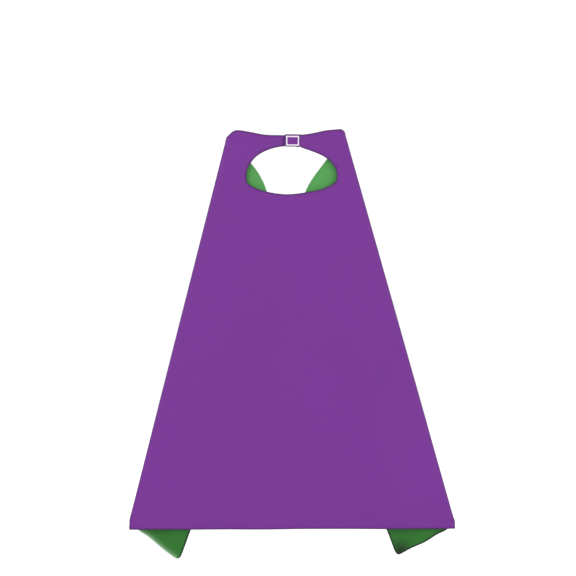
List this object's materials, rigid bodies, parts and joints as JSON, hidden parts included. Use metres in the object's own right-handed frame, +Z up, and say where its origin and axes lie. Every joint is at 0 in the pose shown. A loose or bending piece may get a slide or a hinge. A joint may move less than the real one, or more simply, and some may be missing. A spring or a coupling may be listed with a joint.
{
  "type": "costume cape",
  "caption": "Child's satin costume cape, lined, with folded side fronts and neck straps that close on hook-and-loop.",
  "frame": {"origin": "centre of the neck opening, in the middle of the back panel's cloth, where the wearer's neck or a hanger holds the cape", "axes": "+Z up along the cape's length, -Y out of the purple outer face, +X to the right when looking at that face"},
  "size_m": [0.5725, 0.0188, 0.7552],
  "materials": {
    "outer_satin": "purple polyester satin",
    "lining_satin": "green polyester satin",
    "purple_thread": "spun polyester thread, dark purple",
    "white_thread": "spun polyester thread, white",
    "hook_and_loop_tape": "woven nylon hook-and-loop tape, dark purple"
  },
  "bodies": {
    "back_panel": {"outer_back_panel": "outer_satin", "lining_back_panel": "lining_satin", "neckline_stitching": "purple_thread", "hem_stitching_back": "purple_thread"},
    "left_front": {"outer_left_front": "outer_satin", "lining_left_front": "lining_satin", "front_edge_stitching_left": "purple_thread", "hem_stitching_left": "purple_thread"},
    "right_front": {"outer_right_front": "outer_satin", "lining_right_front": "lining_satin", "front_edge_stitching_right": "purple_thread", "hem_stitching_right": "purple_thread"},
    "left_strap": {"outer_left_strap": "outer_satin", "lining_left_strap": "lining_satin", "left_strap_stitching": "purple_thread", "loop_patch": "hook_and_loop_tape", "loop_patch_stitching": "purple_thread"},
    "right_strap": {"outer_right_strap": "outer_satin", "lining_right_strap": "lining_satin", "right_strap_stitching": "purple_thread"},
    "closure_tab": {"outer_closure_tab": "outer_satin", "lining_closure_tab": "lining_satin", "hook_patch": "hook_and_loop_tape", "closure_box_stitching": "white_thread"}
  },
  "joints": [
    {"name": "left_front_fold", "type": "hinge", "parent": "back_panel", "child": "left_front", "pos_m": [-0.114, 0.006, 0.0588], "axis": [0.2459, 0, 0.9693], "range_deg": [0, 175]},
    {"name": "right_front_fold", "type": "hinge", "parent": "back_panel", "child": "right_front", "pos_m": [0.0926, 0.006, 0.0693], "axis": [0.2718, 0, -0.9623], "range_deg": [0, 175]},
    {"name": "left_strap_swing", "type": "hinge", "parent": "back_panel", "child": "left_strap", "pos_m": [-0.072, 0, 0], "axis": [0, 0, 1], "range_deg": [0, 90]},
    {"name": "right_strap_swing", "type": "hinge", "parent": "back_panel", "child": "right_strap", "pos_m": [0.072, 0, 0], "axis": [0, 0, 1], "range_deg": [0, 110]},
    {"name": "closure_tab_peel", "type": "hinge", "parent": "right_strap", "child": "closure_tab", "pos_m": [0.01644, -0.00216, 0], "axis": [0, 0, 1], "range_deg": [0, 120]}
  ]
}
